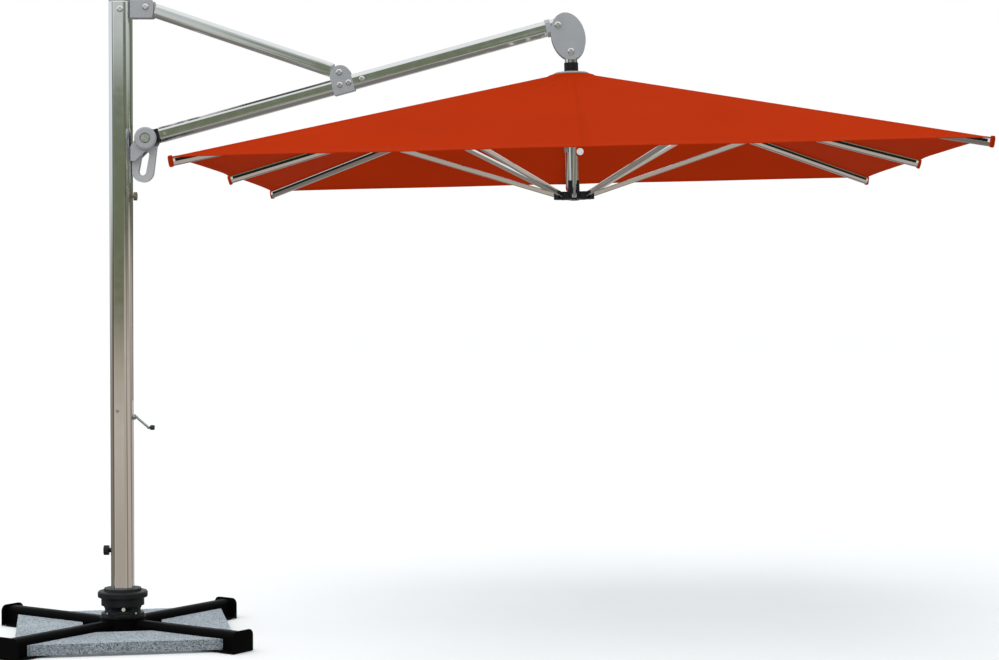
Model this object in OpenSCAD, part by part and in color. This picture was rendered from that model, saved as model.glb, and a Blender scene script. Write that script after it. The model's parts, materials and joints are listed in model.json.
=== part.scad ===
// Cantilever parasol: a square canopy hung beside its mast, on a cross base weighted with stone.
// Origin: mast axis at ground level. +X runs from the mast to the canopy, +Z is up.

/* [Canopy] */
// Side of the open square canopy
canopy_side = 3000; // [2600:50:3200]
// Height of the canopy's eave above the head pivot's level, downwards
eave_drop = 504; // [480:1:540]
// Height from the crown pivots down to the runner pivots, open
runner_drop = 500; // [470:1:520]
// Lean of the hanging canopy, outer side up
canopy_lean = 1.3; // [0:0.1:2]
// Inward curve of the eave between two rib tips
eave_scallop = 20; // [10:1:60]

/* [Mast and arms] */
// Width of the mast across its flats
mast_w = 95; // [90:1:100]
// Height of the mast
mast_h = 2777; // [2700:1:2850]
// Distance of both mast pivots from the mast axis
pivot_x = 115; // [112:1:125]
// Height of the tie's pivot on the mast
tie_z = 2748; // [2740:1:2755]
// Height of the carriage's pivot, parasol open
carriage_z = 2180; // [2170:1:2190]
// Distance of the boom's middle pivot from the mast axis
boom_pivot_x = 955; // [940:1:970]
// Width of the boom tube
boom_w = 65; // [60:1:66]
// Width of the tie tube
tie_w = 60; // [56:1:60]

/* [Base] */
// Turn of the cross base against the boom
base_yaw = 12.5; // [0:0.5:20]
// Radius of the cross base at its end plates
base_r = 685; // [660:5:720]
// Thickness of each stone slab
slab_t = 45; // [40:1:50]

/* [Hidden] */

silver = "#c3c6c6";
casting = "#a2a8ab";
black_coat = "#16171a";
dark_coat = "#2f3032";
stone = "#8f989b";
cloth_red = "#b8381a";
nylon = "#d9d7cf";

$fn = 64;
cut = 1;

// Side linkage: tie pivot, carriage pivot and the boom pivot midway between their heights
tie_pt = [pivot_x, 0, tie_z];
carriage_pt = [pivot_x, 0, carriage_z];
boom_pt = [boom_pivot_x, 0, (tie_z + carriage_z) / 2];
link_fall = atan2(tie_z - boom_pt.z, boom_pivot_x - pivot_x);
link_len = norm(boom_pt - tie_pt);
head_end = [1900, 0, 2666];
head_pt = [1957, 0, 2552];
boom_rise = atan2(head_end.z - carriage_z, head_end.x - pivot_x);
boom_len = norm(head_end - carriage_pt);
saddle_along = (boom_pt.x - pivot_x) * cos(boom_rise) + (boom_pt.z - carriage_z) * sin(boom_rise);
saddle_up = (boom_pt.z - carriage_z) * cos(boom_rise) - (boom_pt.x - pivot_x) * sin(boom_rise);

// Tubes
mast_chamfer = 20;
mast_wall = 3;
tube_wall = 2;
tube_chamfer = 13;
side_gap = 0.5;
cheek_in = boom_w / 2 + 0.6;
cheek_t = 6;

// Umbrella frame, in a frame at the head pivot
half = canopy_side / 2;
pivot_r = 66;
crown_z = -122;
rib_h = 30;
rib_w = 20;
mid_cover = 17;
corner_cover = 21;
cloth_t = 1;
cloth_peak = 82.4;
face_slope = (eave_drop - cloth_peak) / half;
mid_tip_z = -eave_drop - mid_cover;
corner_tip_z = -eave_drop - corner_cover;
strut_lean = 2.2;
mid_angle = atan2(crown_z - mid_tip_z, half - pivot_r);
corner_angle = atan2(crown_z - corner_tip_z, half * sqrt(2) - pivot_r);
folded_angle = 88;
mid_arm = runner_drop / (2 * sin(mid_angle + strut_lean));
folded_drop = 2 * mid_arm * sin(folded_angle + strut_lean);
corner_arm = (folded_drop ^ 2 - runner_drop ^ 2) / 2
    / (folded_drop * sin(folded_angle + strut_lean) - runner_drop * sin(corner_angle + strut_lean));
corner_strut = sqrt(corner_arm ^ 2 + runner_drop ^ 2
    - 2 * corner_arm * runner_drop * sin(corner_angle + strut_lean));
pole_d = 42;
strut_w = 18;
strut_h = 20;
rib_pin_d = 6;

// Turret heights
cross_top = 88;
turret_z = 96;
split_z = 145;
collar_z = 147;
collar_top = 221;
spigot_d = 76;
bolt_r = 85.8;
bolt_turn = 38;
running_gap = 0.05;

// Winch and knobs
crank_z = 968;
drum_x = -11;
drum_z = 996;
knob_z = 385;
lock_z = carriage_z - 250;
slot_w = 14;
slot_low = 1040;
slot_high = 2240;

function corner_cut(w, h, c) = [
    [w / 2, h / 2 - c], [w / 2 - c, h / 2], [c - w / 2, h / 2], [-w / 2, h / 2 - c],
    [-w / 2, c - h / 2], [c - w / 2, -h / 2], [w / 2 - c, -h / 2], [w / 2, c - h / 2]];

// Eight-sided tube along +Z
module oct_tube(w, c, wall, len) {
    linear_extrude(len) difference() {
        polygon(corner_cut(w, w, c));
        polygon(corner_cut(w - 2 * wall, w - 2 * wall, c - 0.6 * wall));
    }
}

// Eight-sided bar along +Z
module oct_bar(w, c, len) {
    linear_extrude(len) polygon(corner_cut(w, w, c));
}

// Round bar along Y, centred
module y_bar(d, len) {
    rotate([90, 0, 0]) cylinder(d = d, h = len, center = true);
}

// Round bar along +X
module x_bar(d, len) {
    rotate([0, 90, 0]) cylinder(d = d, h = len);
}

// Plate outline in X and Z, thick along Y from y0 to y1
module xz_plate(y0, y1) {
    translate([0, y1, 0]) rotate([90, 0, 0]) linear_extrude(y1 - y0) children();
}

// Upright outline with rounded top corners, standing on Z = 0
module round_top(w, h, r) {
    translate([-w / 2, 0]) square([w, h - r]);
    translate([r - w / 2, 0]) square([w - 2 * r, h]);
    for (side = [-1, 1]) translate([side * (w / 2 - r), h - r]) circle(r);
}

// Frames that the sub-parts are drawn in
module base_frame() {
    rotate([0, 0, base_yaw]) children();
}

module boom_frame() {
    translate(carriage_pt) rotate([0, -boom_rise, 0]) children();
}

module tie_frame() {
    translate(tie_pt) rotate([0, link_fall, 0]) children();
}

module canopy_frame() {
    translate(head_pt) rotate([0, -canopy_lean, 0]) children();
}

// Base

module base_cross() {
    arm_w = 62;
    flange_w = 130;
    foot_h = 6;
    color(black_coat) base_frame() {
        difference() {
            union() {
                translate([0, 0, foot_h]) cylinder(d = 200, h = turret_z - foot_h);
                for (i = [0:3]) rotate([0, 0, 45 + 90 * i]) translate([60, 0, foot_h])
                    rotate([90, 0, 90]) {
                        linear_extrude(base_r - 65) round_top(arm_w, cross_top - foot_h, 22);
                        linear_extrude(base_r - 65) translate([-flange_w / 2, 0]) square([flange_w, 5]);
                    }
            }
            for (i = [0:3]) rotate([0, 0, 45 + 90 * i]) translate([112, 0, foot_h - cut])
                rotate([90, 0, 90]) linear_extrude(base_r - 187)
                    round_top(arm_w - 8, cross_top - foot_h - 3, 18);
            translate([0, 0, foot_h - cut]) difference() {
                cylinder(d = 186, h = turret_z - foot_h - 9);
                translate([0, 0, -cut]) cylinder(d = 94, h = turret_z);
            }
            translate([0, 0, 60]) cylinder(d = spigot_d + 0.2, h = 60);
        }
        for (i = [0:3]) rotate([0, 0, 45 + 90 * i]) translate([base_r - 5, 0, 2])
            rotate([90, 0, 90]) linear_extrude(5) round_top(flange_w, 93, 27);
    }
}

module base_feet() {
    color(dark_coat) base_frame() {
        cylinder(d = 160, h = 6);
        for (i = [0:3]) rotate([0, 0, 45 + 90 * i]) for (side = [-1, 1])
            translate([base_r - 40, side * 46, 0]) cylinder(d = 34, h = 6);
    }
}

module stone_slab(turn) {
    outer = 455;
    inner = 172;
    arm_gap = 53;
    rotate([0, 0, base_yaw + turn]) translate([0, 0, 11.3]) linear_extrude(slab_t)
        polygon([[-outer + arm_gap, -outer], [outer - arm_gap, -outer],
            [inner - arm_gap, -inner], [-inner + arm_gap, -inner]]);
}

module slab_front() {
    color(stone) stone_slab(0);
}

module slab_right() {
    color(stone) stone_slab(90);
}

module slab_back() {
    color(stone) stone_slab(180);
}

module slab_left() {
    color(stone) stone_slab(270);
}

module turret_base() {
    color(dark_coat) base_frame() difference() {
        union() {
            rotate_extrude() polygon([[spigot_d / 2 + 0.1, turret_z], [92, turret_z], [92, 114],
                [79, 114], [77, 120], [77, 130], [84, split_z], [spigot_d / 2 + 0.1, split_z]]);
            // Ears of the foot pedal
            for (side = [-1, 1]) translate([side * 24, -90, turret_z]) translate([-3, -8, 14])
                cube([6, 24, 18]);
        }
        for (i = [0:3]) rotate([0, 0, bolt_turn + 90 * i]) translate([bolt_r, 0, turret_z - cut])
            cylinder(d = 8.4, h = 30);
        translate([0, -92, 122]) rotate([0, 90, 0]) cylinder(d = 6, h = 80, center = true);
        translate([0, -60, 138]) rotate([90, 0, 0]) cylinder(d = 12.4, h = 60);
    }
}

module turret_bolts() {
    color(silver) base_frame() for (i = [0:3]) rotate([0, 0, bolt_turn + 90 * i]) translate([bolt_r, 0, 0]) {
        translate([0, 0, 114]) cylinder(d = 11, h = 7);
        translate([0, 0, turret_z]) cylinder(d = 8, h = 18);
    }
}

module spigot_tube() {
    color(silver) translate([0, 0, 62]) difference() {
        cylinder(d = spigot_d, h = 558);
        translate([0, 0, -cut]) cylinder(d = spigot_d - 8, h = 560);
    }
}

module turn_bearings() {
    color(nylon) {
        for (z = [collar_top + 4, 560]) translate([0, 0, z]) difference() {
            oct_bar(mast_w - 2 * mast_wall - 0.4, mast_chamfer - 2, 50);
            translate([0, 0, -cut]) cylinder(d = spigot_d + 2 * running_gap, h = 60);
        }
        translate([0, 0, split_z + 0.3]) difference() {
            cylinder(d = 150, h = collar_z - split_z - 0.3);
            translate([0, 0, -cut]) cylinder(d = spigot_d + 2 * running_gap, h = 5);
        }
    }
}

module foot_pedal() {
    color(casting) base_frame() difference() {
        union() {
            translate([-32, -122, 110]) cube([64, 22, 7]);
            translate([-20.5, -106, 112]) cube([41, 12, 12]);
            translate([0, -92, 122]) rotate([0, 90, 0]) cylinder(d = 13, h = 41, center = true);
        }
        translate([0, -92, 122]) rotate([0, 90, 0]) cylinder(d = 6.2, h = 60, center = true);
    }
    color(silver) base_frame() translate([0, -92, 122]) rotate([0, 90, 0])
        cylinder(d = 5.9, h = 56, center = true);
}

module lock_pin() {
    color(silver) base_frame() translate([0, 0, 138]) rotate([90, 0, 0]) {
        translate([0, 0, 62]) cylinder(d = 12, h = 30);
        translate([0, 0, 92]) cylinder(d = 16, h = 6);
    }
}

// Mast

module turret_collar() {
    color(dark_coat) difference() {
        rotate_extrude() polygon([[spigot_d / 2 + 1, collar_z], [93, collar_z], [93, 178], [106, 182],
            [108, 186], [108, 203], [104, 208], [82, 210], [80, collar_top],
            [spigot_d / 2 + 1, collar_top]]);
        translate([0, 0, 156]) oct_bar(mast_w + 2 * side_gap, mast_chamfer, 100);
    }
}

module mast_tube() {
    color(silver) difference() {
        translate([0, 0, 157]) oct_tube(mast_w, mast_chamfer, mast_wall, mast_h - 157);
        // Track for the carriage
        translate([30, -slot_w / 2, slot_low]) cube([30, slot_w, slot_high - slot_low]);
        translate([30, 0, crank_z]) x_bar(16, 30);
        translate([drum_x, 0, drum_z]) y_bar(10.2, 120);
        translate([7, 0, mast_h - 39]) y_bar(10.2, 120);
        for (z = [tie_z - 32, tie_z + 14]) translate([30, 0, z]) x_bar(8.2, 30);
        translate([-60, 0, knob_z]) x_bar(12.1, 30);
    }
}

// Plug that closes the mast and takes the bracket's bolts
module mast_plug() {
    plug_w = mast_w - 2 * mast_wall - 0.6;
    difference() {
        union() {
            translate([0, 0, mast_h - 70]) oct_bar(plug_w, mast_chamfer - 2, 70);
            translate([0, 0, mast_h]) oct_bar(mast_w, mast_chamfer, 3);
        }
        translate([7, 0, mast_h - 39]) y_bar(10.2, 120);
        for (z = [tie_z - 32, tie_z + 14]) translate([20, 0, z]) x_bar(8.2, 30);
    }
}

module top_bracket() {
    inner = tie_w / 2 + 1.5;
    color(casting) mast_plug();
    color(casting) difference() {
        union() {
            translate([mast_w / 2, -inner - 6, tie_z - 46]) cube([7, 2 * inner + 12, 76]);
            for (y = [-inner - 6, inner]) xz_plate(y, y + 6)
                translate([0, tie_z]) polygon([[mast_w / 2, -46], [pivot_x + 25, -46], [pivot_x + 30, -40],
                    [pivot_x + 34, -20], [pivot_x + 35, 0], [pivot_x + 33, 22], [pivot_x + 30, 30],
                    [mast_w / 2, 30]]);
        }
        translate(tie_pt) y_bar(14, 120);
        for (z = [tie_z - 32, tie_z + 14]) translate([30, 0, z]) x_bar(8.2, 40);
    }
}

module top_bolts() {
    color(silver) {
        translate(tie_pt) bolt_y(13.9, 27, 2 * (tie_w / 2 + 7.5), 6);
        translate([7, 0, mast_h - 39]) bolt_y(10, 28, mast_w, 6);
        for (z = [tie_z - 32, tie_z + 14]) {
            translate([22, 0, z]) x_bar(8, mast_w / 2 + 7 - 22);
            translate([mast_w / 2 + 7, 0, z]) x_bar(14, 4);
        }
    }
}

module mast_clamp_knob() {
    color(dark_coat) translate([0, 0, knob_z]) difference() {
        union() {
            translate([-81, 0, 0]) x_bar(43, 21);
            translate([-60, 0, 0]) x_bar(20, 12);
            translate([-48, 0, 0]) x_bar(12, 9.5);
        }
        for (i = [0:7]) rotate([45 * i, 0, 0]) translate([-82, 0, 26]) x_bar(12, 23);
    }
}

// Winch in the mast

module winch_frame() {
    color(silver) difference() {
        union() {
            for (side = [-1, 1]) translate([-30, side * 37 - 2, crank_z - 34]) cube([60, 4, 96]);
            translate([-30, -37, crank_z - 34]) cube([60, 74, 4]);
        }
        translate([drum_x, 0, drum_z]) y_bar(10.1, 120);
    }
    color(silver) difference() {
        translate([30, -20, crank_z - 14]) cube([13, 40, 28]);
        translate([20, 0, crank_z]) x_bar(10.1, 40);
    }
}

module winch_drum() {
    color(casting) translate([drum_x, 0, drum_z]) {
        difference() {
            union() {
                y_bar(39.4, 14);
                y_bar(26, 66);
                for (y = [-32, -10, 10, 32]) translate([0, y, 0]) y_bar(44, 3);
            }
            y_bar(9.9, 80);
        }
        y_bar(10, mast_w + 2);
        for (side = [-1, 1]) translate([0, side * (mast_w / 2 + 2.5), 0]) y_bar(14, 3);
    }
}

module crank() {
    reach = 54;
    drop = 46;
    lean = atan2(drop, reach);
    color(casting) translate([0, 0, crank_z]) {
        translate([-34, 0, 0]) x_bar(10, 96);
        translate([drum_x - 18, 0, 0]) x_bar(16, 36);
        translate([mast_w / 2 + 1, 0, 0]) x_bar(24, 10);
        translate([62, 0, 0]) sphere(d = 14);
        translate([62, 0, 0]) rotate([0, 90 + lean, 0]) cylinder(d = 11, h = norm([reach, drop]));
        translate([62 + reach, 0, -drop]) sphere(d = 14);
        translate([62 + reach, 0, -drop]) x_bar(6, 22);
    }
}

module crank_grip() {
    color(black_coat) translate([123.5, 0, crank_z - 46]) difference() {
        union() {
            x_bar(20, 18);
            translate([4, 0, 0]) x_bar(22, 10);
        }
        translate([-cut, 0, 0]) x_bar(6.1, 17.5);
    }
}

// Tie between the mast's top and the boom

module tie_tube() {
    color(silver) tie_frame() translate([37, 0, 0]) rotate([0, 90, 0])
        oct_tube(tie_w, 12, tube_wall, link_len - 73);
}

module tie_ends() {
    core = tie_w - 2 * tube_wall - 0.4;
    color(casting) tie_frame() {
        difference() {
            union() {
                y_bar(50, tie_w);
                rotate([0, 90, 0]) oct_bar(core, 11, 90);
                translate([0, -tie_w / 2, -25]) cube([36.5, tie_w, 50]);
            }
            y_bar(14, 120);
        }
        translate([link_len, 0, 0]) difference() {
            union() {
                y_bar(36, tie_w);
                translate([-90, 0, 0]) rotate([0, 90, 0]) oct_bar(core, 11, 56);
                translate([-35.5, -tie_w / 2, -17]) cube([35.5, tie_w, 34]);
            }
            y_bar(14, 120);
        }
    }
}

// Boom

module boom_tube() {
    color(silver) boom_frame() difference() {
        translate([58, 0, 0]) rotate([0, 90, 0])
            oct_tube(boom_w, tube_chamfer, tube_wall, boom_len - 38);
        translate([boom_len, 0, 0]) y_bar(12.2, 100);
    }
}

module boom_knuckle() {
    core = boom_w - 2 * tube_wall - 0.4;
    color(dark_coat) boom_frame() difference() {
        union() {
            y_bar(60, boom_w);
            rotate([0, 90, 0]) oct_bar(core, 12, 120);
            translate([0, -boom_w / 2, -29]) cube([57.5, boom_w, 58]);
        }
        y_bar(20, 120);
    }
}

module boom_saddle() {
    inner = cheek_in;
    color(casting) boom_frame() translate([saddle_along, 0, 0]) difference() {
        union() {
            for (y = [-inner - 5, inner]) xz_plate(y, y + 5) hull() {
                translate([0, saddle_up - 16]) circle(46, $fn = 72);
                translate([-46, -inner - 4]) square([92, 2]);
            }
            translate([-46, -inner, -inner - 4]) cube([92, 2 * inner, 4]);
        }
        translate([0, 0, saddle_up]) y_bar(14, 120);
        for (x = [-12, 27]) translate([x, 0, 0]) y_bar(8.2, 120);
    }
}

module boom_bolts() {
    inner = cheek_in + 5;
    color(silver) boom_frame() {
        translate([saddle_along, 0, saddle_up]) bolt_y(13.9, 27, 2 * inner, 6);
        for (x = [-12, 27]) translate([saddle_along + x, 0, 0]) heads_y(25, 2 * inner, 5);
        translate([saddle_along + 87, 0, 0]) heads_y(25, boom_w, 5);
        for (side = [-1, 1]) translate([84, side * (boom_w / 2 + 1), 0]) y_bar(11, 2);
        translate([boom_len, 0, 0]) bolt_y(12, 28, 2 * (cheek_in + cheek_t), 6);
        at_head() y_bar(10, 2 * cheek_in + 5.6);
        at_head_pivot() bolt_y(15.9, 28, 2 * (cheek_in + cheek_t), 6);
    }
}

// Head at the boom's outer end

module head_outline(grow) {
    polygon([for (t = [0:5:355]) [(73 + grow) * cos(t), (103 + grow) * sin(t)]]);
}

module at_head() {
    translate([boom_len + 31, 0, -58]) children();
}

module head_plates() {
    color(casting) boom_frame() difference() {
        for (y = [-cheek_in - cheek_t, cheek_in]) at_head() xz_plate(y, y + cheek_t) head_outline(0);
        translate([boom_len, 0, 0]) y_bar(12.2, 120);
        at_head_pivot() y_bar(16, 120);
        at_head() y_bar(10.2, 2 * cheek_in + 6);
    }
    // Ring round the boom's end
    color(casting) boom_frame() translate([boom_len - 52, 0, 0]) rotate([0, 90, 0]) linear_extrude(22)
        difference() {
            polygon(corner_cut(boom_w + 7, boom_w + 7, 15));
            polygon(corner_cut(boom_w + 0.4, boom_w + 0.4, tube_chamfer));
        }
}

// Place of the head pivot in the boom's frame
module at_head_pivot() {
    rel = head_pt - carriage_pt;
    translate([rel.x * cos(boom_rise) + rel.z * sin(boom_rise), 0,
        rel.z * cos(boom_rise) - rel.x * sin(boom_rise)]) children();
}

module head_core() {
    color(dark_coat) boom_frame() at_head() xz_plate(-cheek_in, cheek_in) difference() {
        head_outline(-3);
        head_outline(-14);
        translate([-200, 21]) square([210, 93]);
        translate([-75, -120]) square([150, 88]);
    }
}

// Bolt along Y with a round socket head at each end
module bolt_y(d, head_d, grip, head_t) {
    y_bar(d, grip);
    heads_y(head_d, grip, head_t);
}

// Pair of round heads with hexagon sockets, facing out from the middle plane
module heads_y(head_d, grip, head_t) {
    for (side = [0, 1]) mirror([0, side, 0]) translate([0, -grip / 2, 0]) rotate([90, 0, 0])
        difference() {
            union() {
                cylinder(d = head_d, h = 0.4 * head_t, $fn = 40);
                translate([0, 0, 0.4 * head_t])
                    cylinder(d1 = head_d, d2 = 0.68 * head_d, h = 0.6 * head_t, $fn = 40);
            }
            translate([0, 0, 0.35 * head_t]) cylinder(d = 0.44 * head_d, h = head_t, $fn = 6);
        }
}

module head_pulley() {
    color(nylon) boom_frame() at_head() difference() {
        rotate([90, 0, 0]) rotate_extrude() polygon([[5.06, -9], [24, -9], [24, -6], [18, 0],
            [24, 6], [24, 9], [5.06, 9]]);
    }
}

// Carriage on the mast

module carriage_body() {
    inner = boom_w / 2 + 1;
    color(casting) difference() {
        union() {
            for (y = [-inner - 8, inner]) xz_plate(y, y + 8) hull() {
                translate([pivot_x, carriage_z]) circle(38, $fn = 48);
                translate([mast_w / 2 + 1, carriage_z - 98]) square([20, 62]);
            }
            translate([mast_w / 2 + 1, -inner - 8, carriage_z - 98]) cube([12, 2 * inner + 16, 62]);
            // Neck through the mast's track
            translate([mast_w / 2 - 5.5, -slot_w / 2 + 1, carriage_z - 98]) cube([7.5, slot_w - 2, 62]);
        }
        translate(carriage_pt) y_bar(20, 120);
        boom_swing();
    }
}

// Room for the boom's end as it turns on the carriage
module boom_swing() {
    translate([pivot_x, 0, carriage_z]) y_bar(66, boom_w + 2);
}

module slide_shoe() {
    color(nylon) difference() {
        translate([8, -27, lock_z - 22]) cube([34, 54, carriage_z - lock_z + 70]);
        translate([0, 0, lock_z]) x_bar(10.1, 60);
    }
}

module hub_discs() {
    inner = boom_w / 2 + 9.2;
    color(casting) translate(carriage_pt) for (side = [0, 1]) mirror([0, side, 0])
        rotate([90, 0, 0]) rotate_extrude() polygon([[10.1, inner], [48, inner], [48, inner + 12],
            [42, inner + 18], [24, inner + 18], [20, inner + 11], [10.1, inner + 11]]);
}

module hub_bolt() {
    inner = boom_w / 2 + 9.2;
    color(silver) translate(carriage_pt) difference() {
        union() {
            y_bar(19.9, 2 * inner + 22);
            for (side = [-1, 1]) translate([0, side * (inner + 14.5), 0]) y_bar(36, 6.8);
        }
        for (side = [-1, 1]) translate([-20, side * (inner + 18) - 2, -2]) cube([40, 4, 4]);
    }
}

module pull_handle() {
    thick = 36;
    low = [mast_w / 2 + 49.5, carriage_z - 143];
    color(casting) difference() {
        xz_plate(-thick / 2, thick / 2) difference() {
            hull() {
                translate(low) circle(46.5, $fn = 64);
                translate([mast_w / 2 + 13, carriage_z - 34]) square([97, 0.5]);
                translate([mast_w / 2 + 3, carriage_z - 62]) square([10, 0.5]);
            }
            hull() {
                translate([low.x - 1.5, low.y]) circle(17, $fn = 48);
                translate([low.x + 12, low.y + 72]) circle(17, $fn = 48);
            }
            translate([0, carriage_z - 98.3]) square([mast_w / 2 + 13.3, 80]);
            translate([pivot_x, carriage_z]) circle(34);
        }
    }
}

module carriage_lock_knob() {
    color("#6e6158") translate([0, 0, lock_z]) difference() {
        union() {
            translate([12, 0, 0]) x_bar(9.9, mast_w / 2 - 2);
            translate([mast_w / 2 + 8, 0, 0]) x_bar(37, 13);
        }
        for (i = [0:23]) rotate([15 * i, 0, 0]) translate([mast_w / 2 + 7, 0, 19.2])
            x_bar(3, 15);
    }
}

// Pole hanging from the head

module hanger() {
    color(silver) canopy_frame() difference() {
        union() {
            y_bar(52, 62);
            translate([0, 0, -70]) cylinder(d = 54, h = 70);
        }
        y_bar(16, 120);
        translate([0, 0, -71]) cylinder(d = pole_d + 0.2, h = 46);
    }
}

module clamp_collar() {
    color(dark_coat) canopy_frame() difference() {
        translate([0, 0, -82]) cylinder(d = 61, h = 36);
        translate([0, 0, -70.2]) cylinder(d = 54.2, h = 40);
        translate([0, 0, -83]) cylinder(d = pole_d + 0.2, h = 40);
        translate([0, -34, -64]) y_bar(7, 18);
    }
    color(silver) canopy_frame() translate([0, 0, -64]) {
        translate([0, -29.4, 0]) y_bar(6.8, 4);
        translate([0, -32.3, 0]) y_bar(13, 3.4);
    }
}

module crown_dish() {
    hole = pole_d / 2 + 0.2;
    color(casting) canopy_frame() rotate_extrude() polygon([[hole, -87.4], [31, -87.4], [75, -94.4],
        [75, -91], [66, -87], [40, -84], [hole, -83]]);
}

// Hub disc with eight radial slots, and cross pins in the slots that pins lists
module arm_hub(low, high, pivot, slot, pin_len, pins) {
    difference() {
        translate([0, 0, low]) cylinder(r = 88, h = high - low);
        translate([0, 0, low - cut]) cylinder(d = pole_d + 0.8, h = high - low + 2);
        for (i = [0:7]) rotate([0, 0, 45 * i]) translate([36, -slot / 2, low - cut])
            cube([60, slot, high - low + 2]);
        for (i = [0:7]) rotate([0, 0, 45 * i + 22.5]) translate([99, 0, low - cut])
            cylinder(d = 40, h = high - low + 2);
    }
    for (i = pins) rotate([0, 0, 45 * i]) translate([pivot_r, 0, pivot]) y_bar(rib_pin_d, pin_len);
}

module crown_hub() {
    color(casting) canopy_frame() {
        arm_hub(-138, -110, crown_z, rib_w + 1, rib_w + 6, [0:7]);
        difference() {
            translate([0, 0, -109.9]) cylinder(d = 58, h = 22.2);
            translate([0, 0, -112]) cylinder(d = pole_d + 0.2, h = 30);
        }
    }
}

module pole_tube() {
    color(silver) canopy_frame() {
        translate([0, 0, -642]) difference() {
            cylinder(d = pole_d, h = 616);
            translate([0, 0, -cut]) cylinder(d = pole_d - 4, h = 620);
        }
        // Rope guide on the pole's side
        difference() {
            translate([-38, -7, -432]) cube([17, 14, 26]);
            translate([-32, 0, -440]) cylinder(d = 5, h = 40);
            cylinder(d = pole_d + 0.1, h = 1200, center = true);
        }
    }
}

// Hoist rope along the pole, its points chosen by hand in the canopy's frame
rope_d = 4;
rope_route = [[-32, 0, -400], [-32, 0, -440], [-32, 0, -480], [-32, 0, -520], [-32, 0, -545],
    [-31.5, 0, -560], [-30, 0, -572], [-28.6, 0, -584], [-27.8, 0, -594], [-27.6, 0, -603]];

module hoist_rope() {
    sides = 8;
    last = len(rope_route) - 1;
    points = [for (p = rope_route) for (k = [0:sides - 1])
        p + rope_d / 2 * [cos(360 * k / sides), sin(360 * k / sides), 0]];
    walls = [for (i = [0:last - 1]) for (k = [0:sides - 1])
        [i * sides + k, i * sides + (k + 1) % sides, (i + 1) * sides + (k + 1) % sides,
            (i + 1) * sides + k]];
    ends = [[for (k = [sides - 1:-1:0]) k], [for (k = [0:sides - 1]) last * sides + k]];
    color(nylon) canopy_frame() polyhedron(points, concat(walls, ends));
}

// Canopy cloth: a square pyramid with a curved-in edge between the rib tips

cloth_steps = 4;
cloth_rings = 7;
cloth_hole = 31;
cloth_count = 8 * cloth_steps;

function to_square(a) = 1 / max(abs(cos(a)), abs(sin(a)));

function between(a) = (a / 45 - floor(a / 45));

function edge_r(a) = (half - 6) * to_square(a) - 4 * eave_scallop * between(a) * (1 - between(a));

function cloth_z(p) = -eave_drop + face_slope * (half - max(abs(p.x), abs(p.y)));

function cloth_point(a, k, lift) =
    let (r = cloth_hole + (edge_r(a) - cloth_hole) * k / (cloth_rings - 1))
    let (p = r * [cos(a), sin(a)]) [p.x, p.y, cloth_z(p) + lift];

module canopy_cloth() {
    n = cloth_count;
    m = cloth_rings;
    points = [for (lift = [0, cloth_t]) for (k = [0:m - 1]) for (i = [0:n - 1])
        cloth_point(360 * i / n, k, lift)];
    under = [for (k = [0:m - 2]) for (i = [0:n - 1])
        [k * n + i, k * n + (i + 1) % n, (k + 1) * n + (i + 1) % n, (k + 1) * n + i]];
    over = [for (f = under) [for (j = [3:-1:0]) f[j] + m * n]];
    hole_edge = [for (i = [0:n - 1]) [i, m * n + i, m * n + (i + 1) % n, (i + 1) % n]];
    rim = (m - 1) * n;
    outer_edge = [for (i = [0:n - 1])
        [rim + i, rim + (i + 1) % n, m * n + rim + (i + 1) % n, m * n + rim + i]];
    quads = concat(under, over, hole_edge, outer_edge);
    faces = [for (f = quads) each [[f[0], f[1], f[2]], [f[0], f[2], f[3]]]];
    color(cloth_red) canopy_frame() polyhedron(points, faces);
}

// Umbrella frame

module runner() {
    color(dark_coat) canopy_frame() {
        arm_hub(crown_z - runner_drop - 15, crown_z - runner_drop + 17, crown_z - runner_drop,
            strut_w + 4, strut_w + 8, [0:2:6]);
        difference() {
            translate([0, 0, crown_z - runner_drop + 17.1]) cylinder(d = 50, h = 50);
            translate([0, 0, -700]) cylinder(d = pole_d + 0.8, h = 200);
        }
    }
}

module at_rib(i) {
    canopy_frame() rotate([0, 0, 45 * i]) translate([pivot_r, 0, crown_z])
        rotate([0, i % 2 == 1 ? corner_angle : mid_angle, 0]) children();
}

// Outline of a rib's section: narrower towards its foot, with a groove along each side
module rib_outline() {
    a = rib_w / 2;
    b = rib_h / 2;
    difference() {
        polygon([[a, b], [-a, b], [-a, 1], [1.5 - a, 4.5 - b], [5 - a, -b], [a - 5, -b],
            [a - 1.5, 4.5 - b], [a, 1]]);
        for (side = [-1, 1]) translate([side * (rib_w / 2 - 1.5), 6.5]) square([4, 11], center = true);
    }
}

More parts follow.
